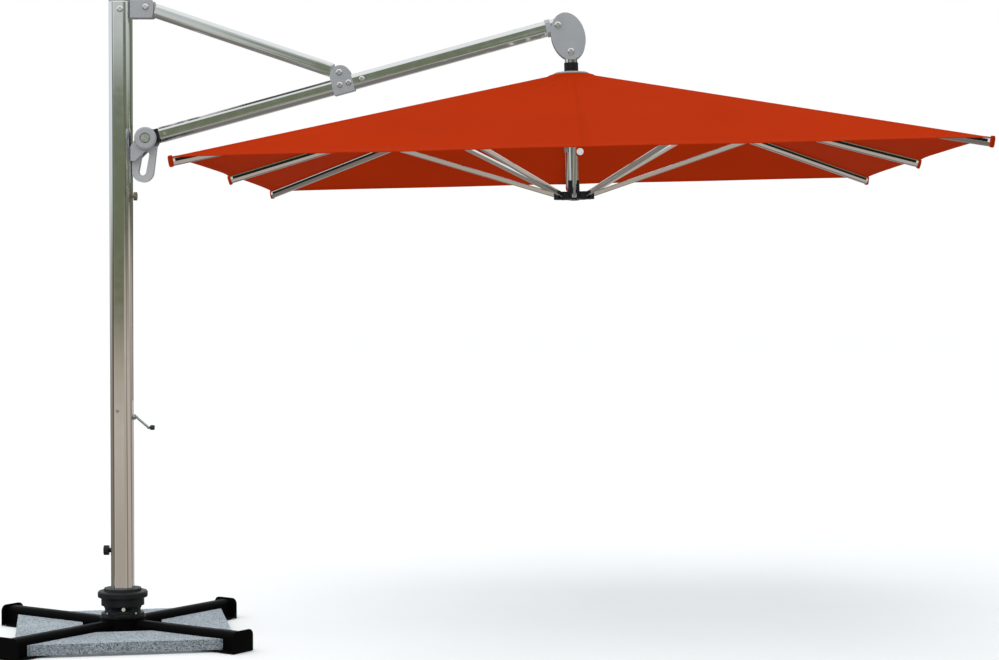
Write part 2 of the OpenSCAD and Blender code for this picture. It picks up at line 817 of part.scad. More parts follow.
module rib(i) {
    far = half * (i % 2 == 1 ? sqrt(2) : 1) - pivot_r;
    tip = norm([far, crown_z - (i % 2 == 1 ? corner_tip_z : mid_tip_z)]) - 6;
    arm = i % 2 == 1 ? corner_arm : mid_arm;
    joint = [arm * cos(strut_lean), 0, -arm * sin(strut_lean)];
    ear = 3;
    color(silver) at_rib(i) {
        difference() {
            y_bar(26, rib_w - 1);
            y_bar(rib_pin_d + 0.1, 60);
        }
        translate([12.5, 0, 0]) rotate([90, 0, 90]) linear_extrude(tip - 12.5 - 30) difference() {
            rib_outline();
            translate([0, -6.75]) square([rib_w - 8.6, 9.5], center = true);
            translate([0, rib_h / 2 - 3]) square([9, 8], center = true);
        }
        translate([tip - 29.8, 0, 0]) rotate([90, 0, 90]) linear_extrude(29.8) rib_outline();
        // Ears that hold the strut
        difference() {
            for (side = [-1, 1]) translate([0, side * (rib_w / 2 + ear / 2 + 0.1), 0])
                xz_plate(-ear / 2, ear / 2) hull() {
                    translate([joint.x, joint.z]) circle(10, $fn = 32);
                    translate([joint.x - 26, -rib_h / 2 + 4]) square([52, 8]);
                }
            translate(joint) y_bar(rib_pin_d, 60);
        }
        translate(joint) y_bar(rib_pin_d - 0.05, rib_w + 2 * ear + 5);
        for (side = [-1, 1]) translate(joint + [0, side * (rib_w / 2 + ear + 2.2), 0]) y_bar(11, 3);
    }
}

// Outline of a strut's section, its lower side at +Y
module strut_outline() {
    a = strut_w / 2;
    b = strut_h / 2;
    polygon([[a - 1.4, b - 2.5], [a - 4, b], [4 - a, b], [1.4 - a, b - 2.5], [-a, 3 - b],
        [3 - a, -b], [a - 3, -b], [a, 3 - b]]);
}

module strut(i) {
    corner = i % 2 == 1;
    arm = corner ? corner_arm : mid_arm;
    length = corner ? corner_strut : mid_arm;
    rise = (corner ? corner_angle : mid_angle) + strut_lean;
    joint_r = pivot_r + arm * cos(rise);
    joint_z = crown_z - arm * sin(rise);
    fall = atan2(joint_z - (crown_z - runner_drop), joint_r - pivot_r);
    color(silver) canopy_frame() rotate([0, 0, 45 * i]) translate([joint_r, 0, joint_z])
        rotate([0, 180 - fall, 0]) {
            difference() {
                union() {
                    y_bar(20, strut_w);
                    translate([0, -strut_w / 2, -strut_h / 2]) cube([12, strut_w, strut_h]);
                }
                y_bar(rib_pin_d + 0.05, 60);
            }
            translate([12, 0, 0]) rotate([90, 0, 90]) linear_extrude(length - 24) difference() {
                strut_outline();
                square([strut_w - 7, strut_h - 6], center = true);
            }
            difference() {
                translate([length, 0, 0]) union() {
                    y_bar(20, strut_w);
                    translate([-12, -strut_w / 2, -strut_h / 2]) cube([12, strut_w, strut_h]);
                }
                translate([length, 0, 0]) y_bar(rib_pin_d + 1, 60);
            }
            // A corner strut keeps its own end pin, loose in the runner's slot
            if (corner) translate([length, 0, 0]) y_bar(rib_pin_d, strut_w + 3);
        }
}

base_cross();
base_feet();
slab_front();
slab_right();
slab_back();
slab_left();
turret_base();
turret_bolts();
spigot_tube();
turn_bearings();
foot_pedal();
lock_pin();
turret_collar();
mast_tube();
top_bracket();
top_bolts();
mast_clamp_knob();
winch_frame();
winch_drum();
crank();
crank_grip();
tie_tube();
tie_ends();
boom_tube();
boom_knuckle();
boom_saddle();
boom_bolts();
head_plates();
head_core();
head_pulley();
carriage_body();
slide_shoe();
hub_discs();
hub_bolt();
pull_handle();
carriage_lock_knob();
hanger();
clamp_collar();
crown_dish();
crown_hub();
pole_tube();
hoist_rope();
canopy_cloth();
runner();
rib(0);  // rib_0
rib(1);  // rib_1
rib(2);  // rib_2
rib(3);  // rib_3
rib(4);  // rib_4
rib(5);  // rib_5
rib(6);  // rib_6
rib(7);  // rib_7
strut(0);  // strut_0
strut(1);  // strut_1
strut(2);  // strut_2
strut(3);  // strut_3
strut(4);  // strut_4
strut(5);  // strut_5
strut(6);  // strut_6
strut(7);  // strut_7
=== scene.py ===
"""Looks of the cantilever parasol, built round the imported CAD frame. Metres, in the row frame."""
import json
import math

import bpy
import numpy as np
from mathutils import Matrix, Vector


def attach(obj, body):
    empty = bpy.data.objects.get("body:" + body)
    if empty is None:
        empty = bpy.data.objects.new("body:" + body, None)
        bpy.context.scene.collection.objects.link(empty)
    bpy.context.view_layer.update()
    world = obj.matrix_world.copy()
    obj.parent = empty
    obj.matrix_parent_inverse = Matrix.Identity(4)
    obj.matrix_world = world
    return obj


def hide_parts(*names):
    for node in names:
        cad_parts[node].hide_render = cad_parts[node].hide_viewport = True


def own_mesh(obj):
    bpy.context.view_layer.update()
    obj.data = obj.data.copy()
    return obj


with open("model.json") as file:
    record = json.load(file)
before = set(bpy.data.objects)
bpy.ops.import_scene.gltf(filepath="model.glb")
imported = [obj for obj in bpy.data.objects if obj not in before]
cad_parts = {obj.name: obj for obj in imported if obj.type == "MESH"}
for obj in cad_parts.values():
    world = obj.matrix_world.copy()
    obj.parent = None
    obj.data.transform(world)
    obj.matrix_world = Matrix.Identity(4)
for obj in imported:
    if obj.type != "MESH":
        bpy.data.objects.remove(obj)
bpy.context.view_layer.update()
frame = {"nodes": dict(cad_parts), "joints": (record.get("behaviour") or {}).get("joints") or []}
nodes = frame["nodes"]
joint = {j["name"]: j for j in frame["joints"]}
scene = bpy.context.scene
scene.view_settings.view_transform = "Standard"


def place(name):
    """Where a joint is, as a numpy point."""
    return np.array(joint[name]["pos_m"], float)


# ---------------------------------------------------------------- camera
def look_along(yaw_deg, pitch_deg):
    """Camera rotation: yaw turns from +Y towards -X, pitch up from the horizon."""
    yaw, pitch = math.radians(yaw_deg), math.radians(pitch_deg)
    ahead = Vector((-math.sin(yaw) * math.cos(pitch), math.cos(yaw) * math.cos(pitch), math.sin(pitch)))
    return ahead.to_track_quat("-Z", "Y")


camera_data = bpy.data.cameras.new("view_camera")
camera = bpy.data.objects.new("view_camera", camera_data)
scene.collection.objects.link(camera)
scene.camera = camera
camera_data.lens = 77.45
camera_data.sensor_width = 36.0
camera_data.clip_end = 400.0
camera.location = (1.819, -9.34, 1.557)
camera.rotation_mode = "QUATERNION"
camera.rotation_quaternion = look_along(1.05, -1.28)


# ---------------------------------------------------------------- materials
def basis(axis, up=(0, 0, 1)):
    a = np.array(axis, float)
    a /= np.linalg.norm(a)
    u = np.array(up, float) - np.dot(up, a) * a
    if np.linalg.norm(u) < 1e-6:
        u = np.array((1.0, 0, 0)) - a[0] * a
    u /= np.linalg.norm(u)
    return u, np.cross(a, u), a


class Paint:
    """A node material with a Principled shader, and short ways to feed its sockets."""

    def __init__(self, name, color, roughness, metallic=0.0, **sockets):
        self.mat = bpy.data.materials.new(name)
        self.mat.use_nodes = True
        self.tree = self.mat.node_tree
        self.shader = self.tree.nodes["Principled BSDF"]
        self.shader.inputs["Metallic"].default_value = metallic
        self.color = color
        self.set("Base Color", (*color, 1.0))
        self.set("Roughness", roughness)
        for key, value in sockets.items():
            self.set(key.replace("_", " "), value)
        self.last_normal = None

    def set(self, socket, value):
        self.shader.inputs[socket].default_value = value

    def node(self, kind, **values):
        made = self.tree.nodes.new(kind)
        for key, value in values.items():
            if hasattr(made, key):
                setattr(made, key, value)
            else:
                made.inputs[key.replace("_", " ")].default_value = value
        return made

    def link(self, out, into):
        self.tree.links.new(out, into)

    def coords(self, scale=(1, 1, 1), along=(0, 0, 1)):
        """Object coordinates turned so that along is their Z, then scaled."""
        source = self.node("ShaderNodeTexCoord")
        mapping = self.node("ShaderNodeMapping")
        mapping.vector_type = "POINT"
        mapping.inputs["Rotation"].default_value = Matrix([list(v) for v in basis(along)]).to_euler()
        stretch = self.node("ShaderNodeVectorMath", operation="MULTIPLY")
        stretch.inputs[1].default_value = scale
        self.link(source.outputs["Object"], mapping.inputs["Vector"])
        self.link(mapping.outputs["Vector"], stretch.inputs[0])
        return stretch.outputs["Vector"]

    def noise(self, scale, detail=3.0, stretch=(1, 1, 1), along=(0, 0, 1), rough=0.5):
        tex = self.node("ShaderNodeTexNoise")
        tex.inputs["Scale"].default_value = scale
        tex.inputs["Detail"].default_value = detail
        tex.inputs["Roughness"].default_value = rough
        self.link(self.coords(stretch, along), tex.inputs["Vector"])
        return tex.outputs["Fac"]

    def cells(self, scale, feature="F1"):
        tex = self.node("ShaderNodeTexVoronoi", feature=feature)
        tex.inputs["Scale"].default_value = scale
        self.link(self.coords(), tex.inputs["Vector"])
        return tex

    def bands(self, scale, axis):
        tex = self.node("ShaderNodeTexWave", wave_type="BANDS", bands_direction=axis)
        tex.inputs["Scale"].default_value = scale
        self.link(self.coords(), tex.inputs["Vector"])
        return tex.outputs["Fac"]

    def span(self, fac, low, high, from_low=0.3, from_high=0.7):
        scale = self.node("ShaderNodeMapRange")
        scale.inputs["From Min"].default_value = from_low
        scale.inputs["From Max"].default_value = from_high
        scale.inputs["To Min"].default_value = low
        scale.inputs["To Max"].default_value = high
        self.link(fac, scale.inputs["Value"])
        return scale.outputs["Result"]

    def colors(self, fac, *stops):
        ramp = self.node("ShaderNodeValToRGB")
        items = ramp.color_ramp.elements
        while len(items) < len(stops):
            items.new(0.5)
        for item, (at, color) in zip(items, stops):
            item.position = at
            item.color = (*color, 1.0)
        self.link(fac, ramp.inputs["Fac"])
        return ramp.outputs["Color"]

    def tint(self, fac, spread):
        """Base colour varied by plus or minus spread."""
        low = tuple(c * (1 - spread) for c in self.color)
        high = tuple(min(1, c * (1 + spread)) for c in self.color)
        self.link(self.colors(fac, (0.3, low), (0.7, high)), self.shader.inputs["Base Color"])

    def rough(self, fac, low, high):
        self.link(self.span(fac, low, high), self.shader.inputs["Roughness"])

    def bump(self, fac, height, strength=1.0):
        tex = self.node("ShaderNodeBump")
        tex.inputs["Strength"].default_value = strength
        tex.inputs["Distance"].default_value = height
        self.link(fac, tex.inputs["Height"])
        if self.last_normal is not None:
            self.link(self.last_normal, tex.inputs["Normal"])
        self.last_normal = tex.outputs["Normal"]
        self.link(self.last_normal, self.shader.inputs["Normal"])

    def multiply(self, a, b):
        tex = self.node("ShaderNodeMath", operation="MULTIPLY")
        self.link(a, tex.inputs[0])
        self.link(b, tex.inputs[1])
        return tex.outputs[0]


def drawn_metal(name, color, along, roughness=(0.05, 0.10), spread=0.04):
    """Polished extrusion: fine die lines along its length, a soft waviness and faint handling marks."""
    paint = Paint(name, color, 0.08, metallic=1.0)
    lines = paint.noise(1.0, 2.0, (700, 700, 1.4), along)
    wave = paint.noise(1.0, 1.0, (26, 26, 0.9), along)
    marks = paint.noise(26.0, 5.0)
    paint.tint(lines, spread)
    paint.rough(marks, *roughness)
    paint.bump(lines, 0.00002, 0.3)
    paint.bump(wave, 0.0016, 0.5)
    return paint.mat


def cast_metal(name, color, roughness=(0.38, 0.55), grain=900.0, metallic=0.0, coat=0.05, specular=0.5):
    """Powder coat on a casting: orange peel and rubbed patches."""
    paint = Paint(name, color, 0.42, metallic=metallic)
    paint.set("Specular IOR Level", specular)
    paint.set("Coat Weight", coat)
    paint.set("Coat Roughness", 0.3)
    peel = paint.noise(grain, 2.0)
    patch = paint.noise(9.0, 4.0)
    paint.tint(patch, 0.07)
    paint.rough(patch, *roughness)
    paint.bump(peel, 0.00006, 0.6)
    return paint.mat


def make_granite():
    paint = Paint("granite_stone", (0.3, 0.34, 0.36), 0.62)
    grains = paint.cells(230.0)
    fine = paint.noise(420.0, 4.0, rough=0.75)
    patch = paint.noise(7.0, 5.0)
    speck = paint.colors(grains.outputs["Color"], (0.18, (0.10, 0.115, 0.125)), (0.42, (0.30, 0.345, 0.37)),
                         (0.7, (0.43, 0.485, 0.515)), (0.92, (0.60, 0.64, 0.66)))
    flecks = paint.colors(fine, (0.34, (0.45, 0.47, 0.49)), (0.52, (1.0, 1.0, 1.0)), (0.72, (1.35, 1.35, 1.35)))
    shade = paint.colors(patch, (0.3, (0.86, 0.87, 0.88)), (0.7, (1.06, 1.07, 1.08)))
    mixes = []
    for other in (flecks, shade):
        mix = paint.node("ShaderNodeMix", data_type="RGBA", blend_type="MULTIPLY")
        mix.inputs["Factor"].default_value = 1.0
        paint.link(mixes[-1] if mixes else speck, mix.inputs["A"])
        paint.link(other, mix.inputs["B"])
        mixes.append(mix.outputs["Result"])
    # Painted shade: faces that stand upright get a darker base colour (down to 0.74) than the slab tops,
    # standing in for the shade on the sides
    upright = paint.node("ShaderNodeSeparateXYZ")
    paint.link(paint.node("ShaderNodeNewGeometry").outputs["True Normal"], upright.inputs["Vector"])
    painted_side_shade = paint.node("ShaderNodeMix", data_type="RGBA", blend_type="MULTIPLY")
    painted_side_shade.inputs["Factor"].default_value = 1.0
    paint.link(mixes[-1], painted_side_shade.inputs["A"])
    sides = paint.colors(upright.outputs["Z"], (0.3, (0.74, 0.75, 0.77)), (0.8, (1.0, 1.0, 1.0)))
    paint.link(sides, painted_side_shade.inputs["B"])
    paint.link(painted_side_shade.outputs["Result"], paint.shader.inputs["Base Color"])
    paint.rough(fine, 0.5, 0.8)
    paint.bump(fine, 0.0012, 0.8)
    paint.bump(patch, 0.004, 0.5)
    return paint.mat


def make_cloth(name, color, thread=1.0):
    """Woven acrylic: two crossing sets of threads, a slub now and then and a soft nap."""
    paint = Paint(name, color, 0.85)
    paint.set("Sheen Weight", 0.03)
    paint.set("Sheen Roughness", 0.5)
    paint.set("Sheen Tint", (1.0, 0.16, 0.05, 1.0))
    paint.set("Specular IOR Level", 0.01)
    weft, warp = paint.bands(210.0 * thread, "X"), paint.bands(210.0 * thread, "Y")
    weave = paint.multiply(weft, warp)
    slub = paint.noise(1.0, 3.0, (6, 320, 6))
    cloud = paint.noise(2.2, 4.0)
    paint.tint(cloud, 0.035)
    paint.rough(slub, 0.78, 0.92)
    paint.bump(weave, 0.00025, 0.35)
    paint.bump(slub, 0.0003, 0.25)
    return paint.mat


def plain(name, color, roughness, spread=0.06, scale=60.0, bump=0.00008, metallic=0.0, **sockets):
    """Moulded or turned surface with a fine texture."""
    paint = Paint(name, color, roughness, metallic=metallic, **sockets)
    grain = paint.noise(scale, 4.0)
    fine = paint.noise(scale * 12, 2.0)
    paint.tint(grain, spread)
    paint.rough(grain, roughness * 0.8, min(1.0, roughness * 1.25))
    paint.bump(fine, bump, 0.6)
    return paint.mat


boom_line = place("pole_hinge") - place("carriage_hinge")
boom_rise = math.atan2(boom_line[2], boom_line[0]) + math.asin(0.125 / np.linalg.norm(boom_line))
BOOM_ALONG = (math.cos(boom_rise), 0.0, math.sin(boom_rise))
TIE_ALONG = tuple(place("boom_fold") - place("tie_fold"))
BARE = (0.80, 0.80, 0.78)
M = {
    "mast": drawn_metal("polished_mast", BARE, (0, 0, 1)),
    "boom": drawn_metal("polished_boom", BARE, BOOM_ALONG),
    "tie": drawn_metal("polished_tie", BARE, TIE_ALONG),
    "pole": drawn_metal("polished_pole", (0.78, 0.79, 0.79), (-0.0227, 0, 1)),
    "casting": cast_metal("grey_powder_coat", (0.345, 0.362, 0.378), specular=0.35),
    "bright_casting": cast_metal("pale_powder_coat", (0.43, 0.44, 0.45), specular=0.35),
    "black": cast_metal("black_powder_coat", (0.003, 0.0028, 0.0027), (0.36, 0.5), 700.0,
                        coat=0.0, specular=0.03),
    "dark": cast_metal("charcoal_casting", (0.011, 0.0115, 0.0125), (0.34, 0.5), 800.0,
                       coat=0.0, specular=0.25),
    "steel": plain("bolt_steel", (0.86, 0.86, 0.85), 0.16, metallic=1.0),
    "zinc": plain("inner_zinc_steel", (0.5, 0.5, 0.48), 0.4, metallic=1.0),
    "rubber": plain("foot_rubber", (0.02, 0.02, 0.02), 0.8, bump=0.0002),
    # Near-black rubber for the strips in the rib grooves: its darkness is painted shade of the groove
    "groove_shade": plain("channel_seal_rubber", (0.006, 0.006, 0.006), 0.55, bump=0.0001, Specular_IOR_Level=0.2),
    "nylon": plain("white_nylon", (0.80, 0.80, 0.78), 0.35),
    "bronze": plain("bronzed_knob", (0.27, 0.225, 0.185), 0.25, metallic=0.9),
    "grip": plain("black_grip", (0.016, 0.016, 0.017), 0.45, bump=0.0002),
    "rope": plain("rope_fibre", (0.33, 0.33, 0.31), 0.7, scale=300.0, bump=0.0003),
    "granite": make_granite(),
    "cloth": make_cloth("red_acrylic_canvas", (0.392, 0.024, 0.0012)),
    "webbing": make_cloth("red_webbing", (0.37, 0.021, 0.0012), 1.6),
}

NODE_LOOKS = {
    "black": ["base_cross"], "rubber": ["base_feet"],
    "granite": ["slab_front", "slab_right", "slab_back", "slab_left"],
    "dark": ["turret_base", "turret_collar", "mast_clamp_knob", "clamp_collar", "runner", "head_core",
             "boom_knuckle", "foot_pedal"],
    "steel": ["turret_bolts", "lock_pin", "top_bolts", "boom_bolts", "hub_bolt"],
    "zinc": ["spigot_tube", "winch_frame", "winch_drum"],
    "nylon": ["turn_bearings", "slide_shoe", "head_pulley"],
    "mast": ["mast_tube"], "tie": ["tie_tube"], "boom": ["boom_tube"], "pole": ["hanger", "pole_tube"],
    "casting": ["top_bracket", "tie_ends", "boom_saddle", "head_plates", "carriage_body", "crown_dish",
                "crown_hub", "hub_discs"],
    "bright_casting": ["pull_handle"], "bronze": ["carriage_lock_knob"], "grip": ["crank_grip"],
    "rope": ["hoist_rope"], "cloth": ["canopy_cloth"],
}
looks = {node: M[key] for key, names in NODE_LOOKS.items() for node in names}
looks["crank"] = M["zinc"]
hub_drop = place("runner_hinge") - place("rib_4_fold")
for i in range(8):
    to_strut = place(f"strut_{i}_fold") - place(f"rib_{i}_fold")
    lift = Matrix.Rotation(math.radians(-2.2), 3, Vector(joint[f"rib_{i}_fold"]["axis"]))
    looks[f"rib_{i}"] = drawn_metal(f"rib_metal_{i}", (0.80, 0.78, 0.75), lift @ Vector(to_strut), (0.08, 0.14))
    looks[f"strut_{i}"] = drawn_metal(f"strut_metal_{i}", (0.80, 0.78, 0.75), to_strut - hub_drop, (0.08, 0.14))
for name, thing in nodes.items():
    if not thing.material_slots:
        thing.data.materials.append(looks[name])
    for slot in thing.material_slots:
        slot.material = looks[name]


def round_arrises(name, foot, along, half_width, cut, width, segments=5):
    """Rounded long edges on a carried-over eight-sided tube whose axis runs from foot along along."""
    thing = nodes[name]
    u, v, _ = basis(along)
    group = thing.vertex_groups.new(name="arrises")
    chosen = []
    for vertex in thing.data.vertices:
        rel = np.array(thing.matrix_world @ vertex.co) - np.array(foot)
        near, far = sorted((abs(float(np.dot(rel, u))), abs(float(np.dot(rel, v)))))
        if abs(far - half_width) < 0.0002 and abs(near - half_width + cut) < 0.0002:
            chosen.append(vertex.index)
    group.add(chosen, 1.0, "REPLACE")
    weld = thing.modifiers.new("join", "WELD")
    weld.merge_threshold = 0.00001
    bevel = thing.modifiers.new("edge", "BEVEL")
    bevel.limit_method = "VGROUP"
    bevel.vertex_group = "arrises"
    bevel.width = width
    bevel.segments = segments
    bevel.use_clamp_overlap = False
    clamp = thing.modifiers.new("weights", "VERTEX_WEIGHT_EDIT")
    clamp.vertex_group = "arrises"


round_arrises("mast_tube", (0, 0, 0), (0, 0, 1), 0.0475, 0.020, 0.008)
round_arrises("boom_tube", place("carriage_hinge"), BOOM_ALONG, 0.0325, 0.013, 0.005)
round_arrises("tie_tube", place("tie_fold"), TIE_ALONG, 0.030, 0.012, 0.0045)


# ---------------------------------------------------------------- mesh helpers
def piece(name, points, faces, material, body, slot=None, smooth=True, sharp=40):
    mesh = bpy.data.meshes.new(name)
    mesh.from_pydata([tuple(map(float, p)) for p in points], [], [tuple(f) for f in faces])
    mesh.validate()
    mesh.update()
    thing = bpy.data.objects.new(name, mesh)
    scene.collection.objects.link(thing)
    mesh.materials.append(material)
    if smooth:
        mesh.shade_smooth()
        mesh.set_sharp_from_angle(angle=math.radians(sharp))
    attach(thing, body)
    return thing


def joined(parts):
    """One (points, faces) from several."""
    points, faces = [], []
    for p, f in parts:
        base = len(points)
        points.extend(p)
        faces.extend([tuple(k + base for k in face) for face in f])
    return points, faces


def loft(rings, cap=True):
    """Closed rings of equal count joined in order."""
    n = len(rings[0])
    points = [p for ring in rings for p in ring]
    faces = [(k * n + i, k * n + (i + 1) % n, (k + 1) * n + (i + 1) % n, (k + 1) * n + i)
             for k in range(len(rings) - 1) for i in range(n)]
    if cap:
        faces.append(tuple(range(n - 1, -1, -1)))
        faces.append(tuple((len(rings) - 1) * n + i for i in range(n)))
    return points, faces


def turned(centre, axis, profile, sides=32):
    """A turned shape: profile is (along, radius) pairs, from centre along axis."""
    u, v, a = basis(axis)
    rings = []
    for along, radius in profile:
        rings.append([np.array(centre) + a * along + radius * (u * math.cos(t) + v * math.sin(t))
                      for t in (2 * math.pi * k / sides for k in range(sides))])
    return loft(rings)


# ---------------------------------------------------------------- canopy frame
HALF, EAVE_DROP, PEAK_DROP = 1.5, 0.504, 0.0824
SLOPE = (EAVE_DROP - PEAK_DROP) / HALF
SCALLOP, HOLE = 0.020, 0.031
COVER = (0.017, 0.021)
head = place("pole_hinge")
pivots = [place(f"rib_{i}_fold") for i in range(8)]
ex = (pivots[0] - pivots[4]) / np.linalg.norm(pivots[0] - pivots[4])
ey = np.array((0.0, 1.0, 0.0))
ez = np.cross(ex, ey)
PIVOT_R = float(np.dot(pivots[0] - head, ex))
CROWN_Z = float(np.dot(pivots[0] - head, ez))


def from_canopy(x, y, z):
    return head + x * ex + y * ey + z * ez


def rib_frame(i):
    """(pivot, unit vector along the rib, across it, away from it) and the rib's length."""
    azimuth = math.radians(45 * i)
    far = HALF * (math.sqrt(2) if i % 2 else 1)
    drop = CROWN_Z + EAVE_DROP + COVER[i % 2]
    fall = math.atan2(drop, far - PIVOT_R)
    out = math.cos(azimuth) * ex + math.sin(azimuth) * ey
    across = -math.sin(azimuth) * ex + math.cos(azimuth) * ey
    along = math.cos(fall) * out - math.sin(fall) * ez
    over = math.sin(fall) * out + math.cos(fall) * ez
    length = math.hypot(far - PIVOT_R, drop) - 0.006
    return pivots[i], along, across, over, length


def eave_r(a):
    square = 1 / max(abs(math.cos(a)), abs(math.sin(a)))
    share = (a / (math.pi / 4)) % 1
    return (HALF - 0.004) * square - 4 * SCALLOP * share * (1 - share)


def cloth_height(a, r):
    """Height of the cloth's middle surface in the canopy frame: flat faces, rounded ridges, a slight sag
    between the ribs, faint gathers near the crown and a low cap drawn over the crown hub."""
    x, y = abs(r * math.cos(a)), abs(r * math.sin(a))
    round_ridge = 0.010
    d = abs(x - y)
    soft = round_ridge * math.exp(-d / round_ridge) * 0.5
    share = (a / (math.pi / 4)) % 1
    reach = r / eave_r(a)
    sag = 0.010 * math.sin(math.pi * share) ** 2 * reach * (1.25 - 0.75 * reach)
    near = math.exp(-((r - 0.20) / 0.15) ** 2)
    gather = 0.0020 * near * math.sin(math.pi * share) ** 2 * math.sin(a * 40 + 1.7 * math.sin(a * 3))
    plane = -EAVE_DROP + SLOPE * (HALF - max(x, y)) - soft - sag + gather
    t = min(1.0, max(0.0, (r - 0.082) / 0.040))
    t = t * t * (3 - 2 * t)
    return (1 - t) * -0.0968 + t * plane


def half_gore(i, side):
    """Half a gore: from rib i to the middle of the panel beside it, as a closed thin sheet with a
    doubled hem along the eave and a lapped seam over the rib."""
    rows = sorted([0, 0.012, 0.02, 0.035, 0.041, 0.047, 0.053] + [k / 34 for k in range(2, 34)])
    hem = (0.026, 0.0245, 0.0015, 0.0)
    centre = math.radians(45 * i)
    top, under = [], []
    columns = 15
    row_count = len(rows) + len(hem)
    for k in range(row_count):
        for c in range(columns):
            r_mid = HOLE + (eave_r(centre) - HOLE) * (rows[k] if k < len(rows) else 1)
            if c < 3:
                offset = math.asin(min(0.9, (0, 0.0085, 0.0098)[c] / r_mid))
            else:
                first = math.asin(min(0.9, 0.0098 / r_mid))
                offset = first + (math.pi / 8 - first) * (c - 2) / (columns - 3)
            a = centre + side * offset
            edge = eave_r(a)
            last = (edge - hem[0] - HOLE) / (edge - HOLE)
            r = HOLE + (edge - HOLE) * rows[k] * last if k < len(rows) else edge - hem[k - len(rows)]
            z = cloth_height(a, r)
            doubled = k > len(rows)
            lapped = c < 2 and k > 2
            up = 0.0005 + 0.0009 * lapped + 0.0007 * doubled
            down = 0.0005 + 0.0012 * doubled
            x, y = r * math.cos(a), r * math.sin(a)
            top.append(from_canopy(x, y, z + up))
            under.append(from_canopy(x, y, z - down))
    n = columns
    grid = [(k * n + c, k * n + c + 1, (k + 1) * n + c + 1, (k + 1) * n + c)
            for k in range(row_count - 1) for c in range(n - 1)]
    if side < 0:
        grid = [f[::-1] for f in grid]
    size = len(top)
    faces = [f[::-1] for f in grid] + [tuple(q + size for q in f) for f in grid]
    loop = ([c for c in range(n)] + [k * n + n - 1 for k in range(1, row_count)]
            + [(row_count - 1) * n + c for c in range(n - 2, -1, -1)]
            + [k * n for k in range(row_count - 2, 0, -1)])
    rim = [(loop[j], loop[(j + 1) % len(loop)], loop[(j + 1) % len(loop)] + size, loop[j] + size)
           for j in range(len(loop))]
    if side < 0:
        rim = [f[::-1] for f in rim]
    flat_area = sum(np.linalg.norm(np.cross(top[f[1]] - top[f[0]], top[f[3]] - top[f[0]]))
                    for f in grid)
    return top + under, faces + rim, flat_area


def is_corner(i):
    return i % 2 == 1


for i in range(8):
    pivot, along, across, over, length = rib_frame(i)
    for side, word in ((1, "left"), (-1, "right")):
        points, faces, area = half_gore(i, side)
        name = f"canopy_gore_{i}_{word}"
        gore = piece(name, points, faces, M["cloth"], f"rib_{i}", "canopy_fabric", sharp=50)
        lean = SLOPE / math.sqrt(2) if is_corner(i) else 0.0
        pull = across * side - lean * ez
        pull /= np.linalg.norm(pull)
        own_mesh(gore)
        gore.visible_glossy = False
        gore.visible_diffuse = False
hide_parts("canopy_cloth")


# ---------------------------------------------------------------- rib ends
def rounded(w, h, k, n=44):
    """Superellipse outline, as (across, up) pairs."""
    out = []
    for j in range(n):
        t = 2 * math.pi * j / n
        c, s = math.cos(t), math.sin(t)
        out.append((w / 2 * math.copysign(abs(c) ** (2 / k), c), h / 2 * math.copysign(abs(s) ** (2 / k), s)))
    return out


def along_rib(i, sections, cap=True):
    """Loft along rib i: each section is (distance from the rib's end, width, height, power, lift)."""
    pivot, along, across, over, length = rib_frame(i)
    rings = []
    for at, w, h, k, lift in sections:
        middle = pivot + along * (length + at) + over * lift
        rings.append([middle + across * x + over * z for x, z in rounded(w, h, k)])
    return loft(rings, cap)


def channel_strip(i, side, stations):
    """A strip in the rib's side groove: each station is (distance along, depth inwards, share of height)."""
    pivot, along, across, over, length = rib_frame(i)
    low, high = 0.0013, 0.0117
    rings = []
    for at, proud, share in stations:
        mid = (low + high) / 2
        ring = []
        for x, z in ((0.0066, low), (proud - 0.0006, low), (proud, low + 0.0016), (proud - 0.0007, mid),
                     (proud, high - 0.0016), (proud - 0.0006, high), (0.0066, high)):
            ring.append(pivot + along * at + across * side * x + over * (mid + (z - mid) * share))
        rings.append(ring if side > 0 else ring[::-1])
    return loft(rings)


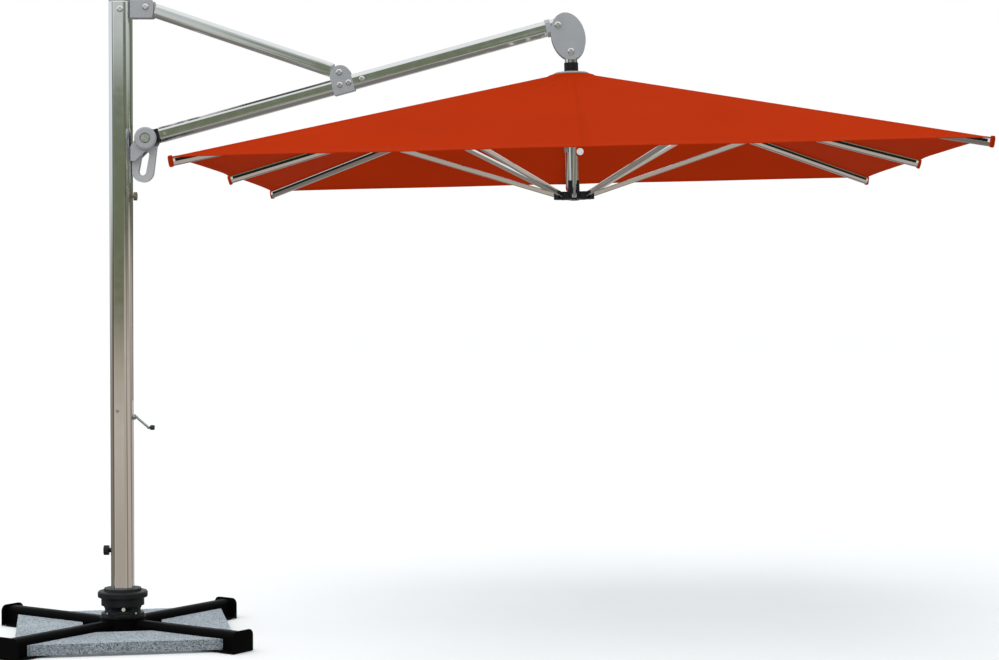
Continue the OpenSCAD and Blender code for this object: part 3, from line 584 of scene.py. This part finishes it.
for i in range(8):
    pivot, along, across, over, length = rib_frame(i)
    if is_corner(i):
        hood = along_rib(i, [
            (-0.0042, 0.0210, 0.0375, 6, 0.0055), (-0.0044, 0.0222, 0.0418, 5.5, 0.0045),
            (-0.0016, 0.0226, 0.0430, 5, 0.0040), (0.0010, 0.0227, 0.0433, 4.5, 0.0038),
            (0.0028, 0.0222, 0.0426, 4, 0.0036), (0.0038, 0.0206, 0.0406, 3.5, 0.0036),
            (0.0042, 0.0176, 0.0370, 3, 0.0036), (0.0034, 0.0150, 0.0330, 2.8, 0.0036),
            (0.0028, 0.0118, 0.0290, 2.6, 0.0036), (0.0030, 0.0060, 0.0200, 2.4, 0.0036)])
        piece(f"corner_hood_{i}", *hood, M["webbing"], f"rib_{i}", "canopy_fabric", sharp=60)
    else:
        pocket = along_rib(i, [
            (-0.0060, 0.0212, 0.0345, 6, 0.0012), (-0.0064, 0.0250, 0.0380, 5, 0.0008),
            (-0.0030, 0.0285, 0.0392, 4, 0.0004), (0.0015, 0.0305, 0.0400, 3.2, 0.0),
            (0.0048, 0.0306, 0.0396, 2.8, 0.0), (0.0060, 0.0292, 0.0370, 2.5, 0.0),
            (0.0056, 0.0278, 0.0310, 2.2, 0.0), (0.0040, 0.0272, 0.0274, 2.0, 0.0),
            (0.0008, 0.0270, 0.0270, 2.0, 0.0)])
        piece(f"tip_pocket_{i}", *pocket, M["webbing"], f"rib_{i}", "canopy_fabric", sharp=60)
        button = turned(pivot + along * (length + 0.0010), along, [
            (0, 0.0120), (0.0008, 0.0131), (0.0032, 0.0131), (0.0042, 0.0122), (0.0044, 0.0080),
            (0.0034, 0.0073), (0.0034, 0.0054), (0.0044, 0.0048), (0.0045, 0.002)], 40)
        piece(f"tip_button_{i}", *button, M["nylon"], f"rib_{i}", "nylon")
    for side, word in ((1, "left"), (-1, "right")):
        # A near-black strip in each side groove of the rib: a dark piece standing in for the shade inside the
        # groove (painted shade)
        strip = channel_strip(i, side, [(0.0140, 0.0088, 1), (0.05, 0.0092, 1), (length * 0.5, 0.0092, 1),
                                        (length - 0.0170, 0.0092, 1), (length - 0.0160, 0.0088, 1)])
        piece(f"groove_shade_strip_{i}_{word}", *strip, M["groove_shade"], f"rib_{i}", "rubber", sharp=25)
        plug = channel_strip(i, side, [(length - 0.0185, 0.0074, 0.6), (length - 0.0140, 0.0092, 0.9),
                                       (length - 0.0075, 0.0104, 1), (length - 0.0005, 0.0104, 1)])
        piece(f"channel_plug_{i}_{word}", *plug, M["nylon"], f"rib_{i}", "nylon", sharp=25)

# ---------------------------------------------------------------- hoist rope
ROPE = [(-0.032, -0.400), (-0.032, -0.440), (-0.032, -0.480), (-0.032, -0.520), (-0.032, -0.545),
        (-0.0315, -0.560), (-0.030, -0.572), (-0.0286, -0.584), (-0.0278, -0.594), (-0.0276, -0.603)]
rope_line = [from_canopy(x, 0.0, z) for x, z in ROPE]
fine_line = []
for a, b in zip(rope_line[:-1], rope_line[1:]):
    fine_line.extend([a + (b - a) * t for t in np.linspace(0, 1, 6, endpoint=False)])
fine_line.append(rope_line[-1])
strands = []
for s in range(3):
    rings = []
    for k, p in enumerate(fine_line):
        turn = k * 0.62 + s * 2 * math.pi / 3
        centre = p + 0.00095 * (math.cos(turn) * ex + math.sin(turn) * ey)
        rings.append([centre + 0.00105 * (math.cos(t) * ex + math.sin(t) * ey)
                      for t in (2 * math.pi * j / 8 for j in range(8))])
    strands.append(loft(rings))
rope = piece("hoist_rope_strands", *joined(strands), M["rope"], "canopy_pole", "rope_fibre")
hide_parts("hoist_rope")

# ---------------------------------------------------------------- floor, light, world
floor_mesh = bpy.data.meshes.new("studio_floor")
R = 60.0
floor_mesh.from_pydata([(-R, -R, 0), (R, -R, 0), (R, R, 0), (-R, R, 0)], [], [(0, 1, 2, 3)])
floor = bpy.data.objects.new("studio_floor", floor_mesh)
scene.collection.objects.link(floor)
floor_paint = Paint("pale_floor", (0.86, 0.86, 0.85), 0.9)
floor_paint.tint(floor_paint.noise(1.3, 3.0), 0.008)
floor_mesh.materials.append(floor_paint.mat)
floor.visible_glossy = False
floor.visible_diffuse = False


def area_light(name, where, towards, size, power, color=(1, 1, 1)):
    data = bpy.data.lights.new(name, "AREA")
    data.shape = "RECTANGLE"
    data.size, data.size_y = size
    data.energy = power
    data.color = color
    light = bpy.data.objects.new(name, data)
    scene.collection.objects.link(light)
    light.location = where
    light.rotation_euler = (Vector(towards) - Vector(where)).to_track_quat("-Z", "Y").to_euler()
    light.visible_glossy = False
    return light


area_light("key_light", (-2.5, -7.0, 7.5), (1.2, 0, 1.4), (6, 4), 70, (1.0, 0.985, 0.96))
sun_data = bpy.data.lights.new("high_soft_sun", "SUN")
sun_data.energy = 1.2
sun_data.angle = math.radians(50)
sun = bpy.data.objects.new("high_soft_sun", sun_data)
scene.collection.objects.link(sun)
sun.rotation_euler = Vector((0.30, 0.42, -1.0)).to_track_quat("-Z", "Y").to_euler()
sun.visible_glossy = False

world = bpy.data.worlds.new("soft_studio")
scene.world = world
world.use_nodes = True
wt = world.node_tree
background = wt.nodes["Background"]
coords = wt.nodes.new("ShaderNodeTexCoord")
split = wt.nodes.new("ShaderNodeSeparateXYZ")
wt.links.new(coords.outputs["Generated"], split.inputs["Vector"])


def world_ramp(value, stops):
    """Colour ramp over a direction's component, from -1 to 1; stops are (component, colour)."""
    span = wt.nodes.new("ShaderNodeMapRange")
    span.inputs["From Min"].default_value = -1.0
    span.inputs["From Max"].default_value = 1.0
    ramp = wt.nodes.new("ShaderNodeValToRGB")
    while len(ramp.color_ramp.elements) < len(stops):
        ramp.color_ramp.elements.new(0.5)
    for stop, (at, color) in zip(ramp.color_ramp.elements, stops):
        stop.position = (at + 1) / 2
        stop.color = (*color, 1.0)
    wt.links.new(value, span.inputs["Value"])
    wt.links.new(span.outputs["Result"], ramp.inputs["Fac"])
    return ramp.outputs["Color"]


def world_fade(value, *stops):
    """Grey ramp, held level outside its stops, which are (component, grey)."""
    ends = [(-1.0, stops[0][1]), *stops, (1.0, stops[-1][1])]
    return world_ramp(value, [(at, (grey, grey, grey)) for at, grey in ends])


def world_mix(factor, a, b):
    mix = wt.nodes.new("ShaderNodeMix")
    mix.data_type = "RGBA"
    for value, socket in ((factor, "Factor"), (a, "A"), (b, "B")):
        if isinstance(value, tuple):
            mix.inputs[socket].default_value = value
        else:
            wt.links.new(value, mix.inputs[socket])
    return mix.outputs["Result"]


# The studio by height, in front and at its two sides: a garden screen over pale paving
GROUND = [(-1.0, (0.03, 0.028, 0.026)), (-0.5, (0.09, 0.082, 0.075))]
SKY = (1.0, (0.95, 0.97, 1.0))
FRONT = [(-1.0, (0.19, 0.19, 0.195)), (-0.5, (0.23, 0.225, 0.22)), (-0.25, (0.50, 0.45, 0.40)),
         (-0.122, (0.43, 0.376, 0.327)), (-0.07, (0.57, 0.51, 0.45)), (-0.038, (0.44, 0.39, 0.33)),
         (-0.012, (0.16, 0.168, 0.112)), (0.036, (0.155, 0.18, 0.108)), (0.087, (0.17, 0.20, 0.145)),
         (0.110, (0.56, 0.60, 0.595)), (0.16, (0.66, 0.71, 0.72)), (0.35, (0.85, 0.89, 0.93)), SKY]
LEFT = [GROUND[0], (-0.5, (0.07, 0.064, 0.058)), (-0.12, (0.20, 0.18, 0.16)), (-0.06, (0.28, 0.25, 0.22)),
        (-0.02, (0.42, 0.42, 0.42)), (0.03, (0.66, 0.70, 0.74)), (0.12, (0.80, 0.84, 0.92)), SKY]
RIGHT = [*GROUND, (-0.10, (0.50, 0.44, 0.40)), (-0.04, (0.55, 0.50, 0.44)), (-0.005, (0.33, 0.31, 0.26)),
         (0.025, (0.14, 0.145, 0.12)), (0.07, (0.20, 0.22, 0.165)), (0.12, (0.21, 0.23, 0.19)),
         (0.17, (0.45, 0.48, 0.48)), (0.35, (0.80, 0.83, 0.86)), SKY]
# Dark and bright posts across the studio
PLAIN = (1, 1, 1)
POSTS = [(-1.0, PLAIN), (-0.92, PLAIN), (-0.88, (0.35, 0.35, 0.35)), (-0.80, (0.22, 0.23, 0.2)),
         (-0.62, (0.5, 0.5, 0.46)), (-0.50, (1.35, 1.35, 1.35)), (-0.38, (1.1, 1.1, 1.1)), (-0.25, PLAIN),
         (0.10, PLAIN), (0.28, (1.25, 1.25, 1.25)), (0.40, (0.75, 0.75, 0.72)), (0.62, (0.42, 0.42, 0.34)),
         (0.84, (0.5, 0.5, 0.48)), (0.93, PLAIN), (1.0, PLAIN)]
FLOOR_BOUNCE = (0.80, 0.79, 0.78, 1.0)
SCREEN_RISE = 0.04
WHITE = (1.0, 1.0, 1.0, 1.0)

height, across_x = split.outputs["Z"], split.outputs["X"]
to_left = world_fade(across_x, (-0.88, 1), (-0.72, 0))
to_right = world_fade(across_x, (0.72, 0), (0.88, 1))
# The garden screen is taller straight ahead than at its left
taller = world_fade(across_x, (-0.118, 0), (-0.085, 1))
sunk = wt.nodes.new("ShaderNodeMath")
sunk.operation = "MULTIPLY_ADD"
sunk.inputs[1].default_value = -SCREEN_RISE
wt.links.new(taller, sunk.inputs[0])
wt.links.new(height, sunk.inputs[2])
sky = world_mix(to_left, world_ramp(sunk.outputs[0], FRONT), world_ramp(height, LEFT))
sky = world_mix(to_right, sky, world_ramp(height, RIGHT))
level = world_fade(height, (-0.5, 0), (-0.3, 1), (0.25, 1), (0.5, 0))
posts = world_mix(level, WHITE, world_ramp(across_x, POSTS))
product = wt.nodes.new("ShaderNodeMix")
product.data_type = "RGBA"
product.blend_type = "MULTIPLY"
product.inputs["Factor"].default_value = 1.0
wt.links.new(sky, product.inputs["A"])
wt.links.new(posts, product.inputs["B"])
# Soft light from the floor for diffuse rays, and a white backdrop for the camera
rays = wt.nodes.new("ShaderNodeLightPath")
below = world_fade(height, (-0.12, 1), (-0.02, 0))
bounce = world_mix(below, product.outputs["Result"], FLOOR_BOUNCE)
soft = world_mix(rays.outputs["Is Diffuse Ray"], product.outputs["Result"], bounce)
seen = world_mix(rays.outputs["Is Camera Ray"], soft, WHITE)
wt.links.new(seen, background.inputs["Color"])
background.inputs["Strength"].default_value = 1.0
